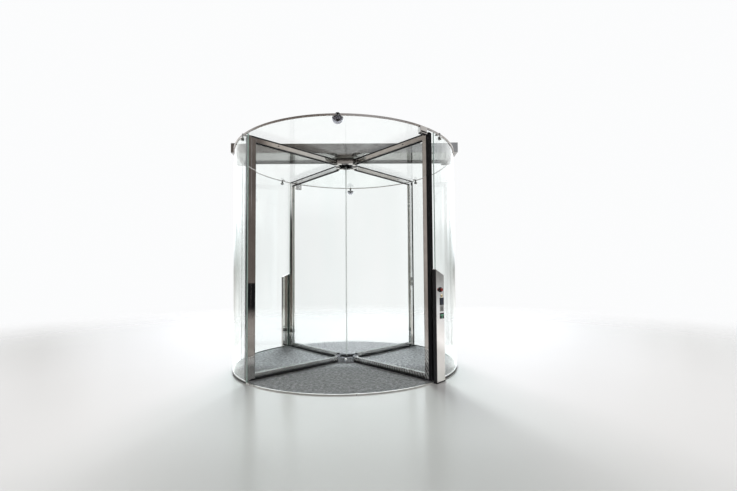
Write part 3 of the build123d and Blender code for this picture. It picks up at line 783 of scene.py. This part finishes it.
# Sensors
shells, lids, arms, lenses, rings = Shape(), Shape(), Shape(), Shape(), Shape()
arc = [(math.cos(math.radians(6 * k)), -math.sin(math.radians(6 * k))) for k in range(1, 15)]
for angle in (-90, 90):
    a = math.radians(angle)
    at = Matrix.Translation((DOME_REACH * math.cos(a), DOME_REACH * math.sin(a), DOME_LEVEL))
    outer, inner = DOME_RADIUS, DOME_RADIUS - 0.0022
    shells.lathe([(outer, 0.0030), (outer, 0)] + [(outer * x, outer * z) for x, z in arc]
                 + [(0, -outer), (0, -inner)] + [(inner * x, inner * z) for x, z in arc[::-1]]
                 + [(inner, 0), (inner, 0.0030)], 40, at)
    lids.lathe([(0, 0.0026), (0.0516, 0.0026), (0.0522, 0.0040), (0.0400, 0.0072), (0.0200, 0.0100),
                (0.0130, 0.0130), (0, 0.0130)], 40, at)
    arms.lathe([(0, 0.0030), (0.0098, 0.0030), (0.0098, 0.0392), (0, 0.0392)], 24, at)
    arm = turned(angle)
    arms.prism([(RIM_OUTER + 0.0003, -0.020), (DOME_REACH + 0.004, -0.020), (DOME_REACH + 0.018, -0.011),
                (DOME_REACH + 0.018, 0.011), (DOME_REACH + 0.004, 0.020), (RIM_OUTER + 0.0003, 0.020)],
               RIM_LOW, RIM_LOW + 0.008, arm, 0.0010)
    ball = [(0.0150 * math.sin(math.radians(15 * k)), -0.0140 + 0.0150 * math.cos(math.radians(15 * k)))
            for k in range(1, 12)]
    lenses.lathe([(0, 0.0010)] + ball + [(0, -0.0290)], 28, at)
    rings.lathe([(0.0200, -0.0060), (0.0235, -0.0150), (0.0330, -0.0150), (0.0380, -0.0080),
                 (0.0400, 0.0020), (0.0200, 0.0020)], 36, at)
shell = shells.piece("sensor_domes", "drum", "smoked", "sensor_grey")
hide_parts("motion_sensors")
lids.piece("sensor_lids", "drum", "sensor_grey", "sensor_grey")
arms.piece("sensor_arms", "drum", "sensor_grey", "sensor_grey")
lenses.piece("sensor_lenses", "drum", "black_panel", "black_panel")
rings.piece("sensor_rings", "drum", "pale_plastic", "satin_steel")

covers, windows = Shape(), Shape()
middle = (PRESENCE_INNER + PRESENCE_OUTER) / 2
for angle in PRESENCE_ANGLES:
    under = turned(angle) @ Matrix.Translation((middle, 0, 0))
    covers.prism(rounded(PRESENCE_OUTER - PRESENCE_INNER - 0.002, 0.093, 0.004),
                 PRESENCE_LOW - 0.0045, PRESENCE_LOW + 0.0005, under)
    windows.prism(rounded(0.078, 0.014, 0.004), -0.0004, 0.0012,
                  facing(angle, PRESENCE_OUTER, 0, PRESENCE_LOW + 0.014), 0.0004)
covers.piece("presence_covers", "drum", "black_panel", "black_panel")
windows.piece("presence_windows", "drum", "black_panel", "black_panel")

# Control posts
caps, plinths, keys, key_slots = Shape(), Shape(), Shape(), Shape()
screens, labels, slots, lights, frames = Shape(), Shape(), Shape(), Shape(), Shape()
for angle in POST_ANGLES:
    corners = []
    for s, z in ((-POST_HALF - 0.0044, POST_TOP + 0.0002), (POST_HALF + 0.0006, POST_TOP - POST_FALL)):
        for r in (POST_INNER + 0.0002, POST_OUTER + 0.0008):
            for up in (-0.0018, 0.0016):
                corners.append((s, z + 0.0006 + up, r))
    caps.add(corners, [[0, 1, 3, 2], [4, 5, 7, 6], [0, 1, 5, 4], [2, 3, 7, 6], [0, 2, 6, 4], [1, 3, 7, 5]],
             facing(angle, 0, 0, 0))
    plinths.prism([(-POST_HALF, 0.0), (POST_HALF, 0.0), (POST_HALF, 0.012), (-POST_HALF, 0.012)],
                  -0.0004, 0.0012, facing(angle, POST_OUTER, 0, 0))
    key = facing(angle, POST_OUTER, PANEL_ASIDE, KEY_LEVEL)
    keys.lathe([(0, -0.0004), (0.0155, -0.0004), (0.0155, 0.0035), (0.0135, 0.0055), (0.0080, 0.0058),
                (0.0074, 0.0046), (0, 0.0046)], 32, key)
    key_slots.prism([(-0.0012, -0.0045), (0.0012, -0.0045), (0.0012, 0.0045), (-0.0012, 0.0045)],
                    0.0040, 0.0050, key)
    screens.prism(rounded(0.056, 0.060, 0.002), 0.0026, 0.0034,
                  facing(angle, POST_OUTER, PANEL_ASIDE, SCREEN_LEVEL), 0.0002)
    labels.prism(rounded(0.066, 0.062, 0.003), -0.0004, 0.0015,
                 facing(angle, POST_OUTER, PANEL_ASIDE, SPEAKER_LEVEL), 0.0004)
    for k in range(5):
        slots.prism(rounded(0.046, 0.0036, 0.0017), 0.0010, 0.0020,
                    facing(angle, POST_OUTER, PANEL_ASIDE, LOWEST_SLOT + SLOT_PITCH * k))
    for wide, tall, level in ((0.060, 0.013, BAR_LIGHT_LEVEL), (0.013, 0.021, SPOT_LIGHT_LEVEL)):
        lights.prism(rounded(wide, tall, 0.003), 0.0026, 0.0040,
                     facing(angle, POST_OUTER, PANEL_ASIDE, level), 0.0004)
    frames.lathe([(0.0218, -0.0004), (0.0258, -0.0004), (0.0252, 0.0090), (0.0240, 0.0100),
                  (0.0218, 0.0100)], 40, facing(angle, POST_OUTER, 0, BUTTON_LEVEL))
caps.piece("post_caps", "drum", "bright_steel", "satin_steel")
plinths.piece("post_plinths", "drum", "dark_metal", "dark_metal")
keys.piece("post_key_switches", "drum", "brass", "satin_steel")
key_slots.piece("post_key_slots", "drum", "rubber", "brush_seal")
screens.piece("post_screens", "drum", "screen", "black_panel")
labels.piece("post_speaker_plates", "drum", "grey_label", "satin_steel")
slots.piece("post_speaker_slots", "drum", "rubber", "brush_seal")
lights.piece("post_lights", "drum", "green_light", "silicone")
frames.piece("button_guards", "drum", "black_panel", "black_panel")

# Floor stage, light, camera
def make_floor():
    """A plain floor that fades into the world, with darker and paler stretches only in mirrors."""
    mat, tree, shader = new_material("stage_floor")
    place = place_in(tree)
    axis = axes(tree, place)
    mirrored = ramp(tree, spread(tree, axis["Y"], 0.0, 1.0, -1.5, -0.7),
                    ((0.2, (0.165, 0.155, 0.148)), (0.7, (0.36, 0.35, 0.34))))
    beside_x = spread(tree, math_node(tree, "ABSOLUTE", axis["X"], 0.0), 0.0, 1.0, 1.36, 1.42)
    beside_y = spread(tree, math_node(tree, "ABSOLUTE", axis["Y"], 0.0), 1.0, 0.0, 0.45, 0.65)
    mirrored = colour_mix(tree, "MIX", math_node(tree, "MULTIPLY", beside_x, beside_y), mirrored,
                          (0.56, 0.553, 0.546, 1))
    path = tree.nodes.new("ShaderNodeLightPath")
    in_mirror = math_node(tree, "GREATER_THAN", path.outputs["Glossy Depth"], 0.5)
    tree.links.new(colour_mix(tree, "MIX", in_mirror, (0.60, 0.588, 0.578, 1), mirrored),
                   shader.inputs["Base Color"])
    shader.inputs["Roughness"].default_value = 0.18
    shader.inputs["Specular IOR Level"].default_value = 0.12
    far = tree.nodes.new("ShaderNodeVectorMath")
    far.operation = "LENGTH"
    tree.links.new(place, far.inputs[0])
    fade = tree.nodes.new("ShaderNodeMapRange")
    fade.interpolation_type = "SMOOTHSTEP"
    fade.inputs["From Min"].default_value = 3.6
    fade.inputs["From Max"].default_value = 10.0
    tree.links.new(far.outputs["Value"], fade.inputs["Value"])
    gone = tree.nodes.new("ShaderNodeBsdfTransparent")
    blend = tree.nodes.new("ShaderNodeMixShader")
    for source, socket in zip((fade.outputs["Result"], shader.outputs[0], gone.outputs[0]), blend.inputs):
        tree.links.new(source, socket)
    tree.links.new(blend.outputs[0], tree.nodes["Material Output"].inputs["Surface"])
    mesh = bpy.data.meshes.new("stage_floor")
    half, level = 60.0, -0.0008
    mesh.from_pydata([(-half, -half, level), (half, -half, level), (half, half, level),
                      (-half, half, level)], [], [(0, 1, 2, 3)])
    mesh.materials.append(mat)
    floor = bpy.data.objects.new("stage_floor", mesh)
    bpy.context.scene.collection.objects.link(floor)


def make_world():
    world = bpy.data.worlds.new("studio")
    world.use_nodes = True
    tree = world.node_tree
    tree.nodes.clear()
    out = tree.nodes.new("ShaderNodeOutputWorld")
    back = tree.nodes.new("ShaderNodeBackground")
    tree.links.new(back.outputs[0], out.inputs["Surface"])
    place = place_in(tree, "Generated")
    axis = axes(tree, place)

    def above(axis_name, limit):
        return math_node(tree, "GREATER_THAN", axis[axis_name], limit)

    def below(axis_name, limit):
        return math_node(tree, "LESS_THAN", axis[axis_name], limit)

    def rise(axis_name, start, end):
        return spread(tree, axis[axis_name], 0.0, 1.0, start, end)

    def both(a, b):
        return math_node(tree, "MULTIPLY", a, b)

    # In mirrors: a pale side toward the street and a warm grey room behind the camera
    depth = rise("Y", -1.0, 1.0)
    dark, brown, beige = (0.13, 0.112, 0.103), (0.24, 0.210, 0.192), (0.50, 0.465, 0.43)
    pale, sky = (0.62, 0.62, 0.61), (1.0, 1.0, 1.0)
    facade, shade = (0.90, 0.945, 0.98), (0.10, 0.10, 0.105)
    right_side = ramp(tree, depth, ((0.0, brown), (0.28, dark), (0.343, dark), (0.355, beige), (0.42, pale),
                                    (0.512, (0.50, 0.49, 0.48)), (0.528, facade), (0.63, facade),
                                    (0.70, sky)))
    left_stops = ((0.0, brown), (0.30, brown), (0.40, (0.36, 0.33, 0.31)), (0.54, (0.42, 0.39, 0.365)))
    left_high = ramp(tree, depth, left_stops + ((0.562, facade), (0.72, sky)))
    left_low = ramp(tree, depth, left_stops + ((0.575, shade), (0.66, shade), (0.72, sky)))
    left_side = colour_mix(tree, "MIX", rise("Z", 0.155, 0.225), left_low, left_high)
    lofty = both(rise("Z", 0.16, 0.20), below("Y", -0.40))
    right_side = colour_mix(tree, "MIX", lofty, right_side, (0.66, 0.67, 0.70, 1))
    seen = colour_mix(tree, "MIX", rise("X", -0.2, 0.2), left_side, right_side)
    patches = noise(tree, place, 5.0, 5.0, 0.65, 0.8)
    streaks = ramp(tree, patches, ((0.30, (0.58, 0.57, 0.56)), (0.5, (0.92, 0.92, 0.92)),
                                   (0.70, (1.22, 1.22, 1.23))))
    seen = colour_mix(tree, "MULTIPLY", 1.0, seen, streaks)
    # A dark counter standing in the room, behind the camera to the right
    counter = both(both(below("Z", -0.012), above("Z", -0.105)), both(below("Y", -0.325), above("X", 0.5)))
    seen = colour_mix(tree, "MIX", counter, seen, (0.010, 0.010, 0.011, 1))
    # The street's skyline, then bright sky ahead and overhead
    ragged = noise(tree, place, 9.0, 6.0, 0.7, 0.4)
    level = math_node(tree, "ADD", axis["Z"], math_node(tree, "MULTIPLY", ragged, -0.16))
    skyline = ramp(tree, spread(tree, level, 0.0, 1.0, -0.30, 0.30),
                   ((0.20, (0.92, 0.91, 0.90)), (0.34, (0.62, 0.61, 0.60)), (0.44, (0.34, 0.345, 0.33)),
                    (0.56, (0.42, 0.43, 0.41)), (0.64, (1.0, 1.0, 1.0))))
    seen = colour_mix(tree, "MULTIPLY", rise("Y", 0.10, 0.22), seen, skyline)
    seen = colour_mix(tree, "MIX", both(rise("Y", 0.74, 0.90), rise("Z", 0.02, 0.12)), seen,
                      (1.55, 1.6, 1.68, 1))
    seen = colour_mix(tree, "MIX", rise("Z", 0.55, 0.75), seen, (2.2, 2.2, 2.2, 1))
    seen = colour_mix(tree, "MULTIPLY", 1.0, seen, (1.25, 1.25, 1.25, 1))
    # The camera sees plain white, matt surfaces are lit by a dim grey, and mirrors show the rest
    path = tree.nodes.new("ShaderNodeLightPath")
    in_mirror = math_node(tree, "GREATER_THAN", path.outputs["Glossy Depth"], 0.5)
    plain = colour_mix(tree, "MIX", path.outputs["Is Diffuse Ray"], (0.97, 0.975, 0.98, 1),
                       (0.16, 0.16, 0.164, 1))
    tree.links.new(colour_mix(tree, "MIX", in_mirror, plain, seen), back.inputs["Color"])
    bpy.context.scene.world = world


def hang(name, kind, power, colour, toward, place=(0, 0, 0)):
    """A lamp that lights the scene, but doesn't show itself to the camera, in mirrors or through glass."""
    lamp = bpy.data.lights.new(name, kind)
    lamp.energy = power
    lamp.color = colour
    ob = bpy.data.objects.new(name, lamp)
    ob.location = place
    ob.rotation_euler = Vector(toward).to_track_quat("-Z", "Y").to_euler()
    ob.visible_glossy = False
    ob.visible_camera = False
    ob.visible_transmission = False
    bpy.context.scene.collection.objects.link(ob)
    return lamp


make_floor()
make_world()
street_light = hang("street_light", "SUN", 4.75, (0.975, 0.99, 1.0), (0.08, -1.0, -0.74))
street_light.angle = math.radians(28.0)
ceiling_light = hang("ceiling_light", "AREA", 110, (1.0, 0.985, 0.965), (0, 1.3, -5.0), (0.0, -2.5, 6.0))
ceiling_light.shape = "RECTANGLE"
ceiling_light.size, ceiling_light.size_y = 5.0, 4.0

# The photo's camera, as the fit gave it
FOCAL_PX, FRAME_W, FRAME_H = 359.265, 737, 491
HORIZON_ROW, SENSOR_WIDTH = 264.687, 36
CAMERA_PLACE = (0.2442, -4.594, 1.0477)
YAW, PITCH, ROLL = -0.00844, 0.03678, 0.00652
cy, sy = math.cos(YAW), math.sin(YAW)
cp, sp = math.cos(PITCH), math.sin(PITCH)
cr, sr = math.cos(ROLL), math.sin(ROLL)
level_right, level_up = Vector((cy, sy, 0)), Vector((sp * sy, -sp * cy, cp))
right = level_right * cr - level_up * sr
up = level_right * sr + level_up * cr
forward = Vector((-cp * sy, cp * cy, sp))
camera_data = bpy.data.cameras.new("view")
camera_data.sensor_width = SENSOR_WIDTH
camera_data.lens = FOCAL_PX / FRAME_W * SENSOR_WIDTH
camera_data.shift_y = (HORIZON_ROW - FRAME_H / 2) / FRAME_W
camera_data.clip_start, camera_data.clip_end = 0.05, 200
camera = bpy.data.objects.new("view", camera_data)
place = Matrix((right, up, -forward)).transposed().to_4x4()
place.translation = CAMERA_PLACE
camera.matrix_world = place
bpy.context.scene.collection.objects.link(camera)
bpy.context.scene.camera = camera

scene = bpy.context.scene
scene.view_settings.view_transform = "Standard"
scene.cycles.use_denoising = True
scene.cycles.max_bounces = 24
scene.cycles.transmission_bounces = 20
scene.cycles.glossy_bounces = 8
scene.cycles.transparent_max_bounces = 32
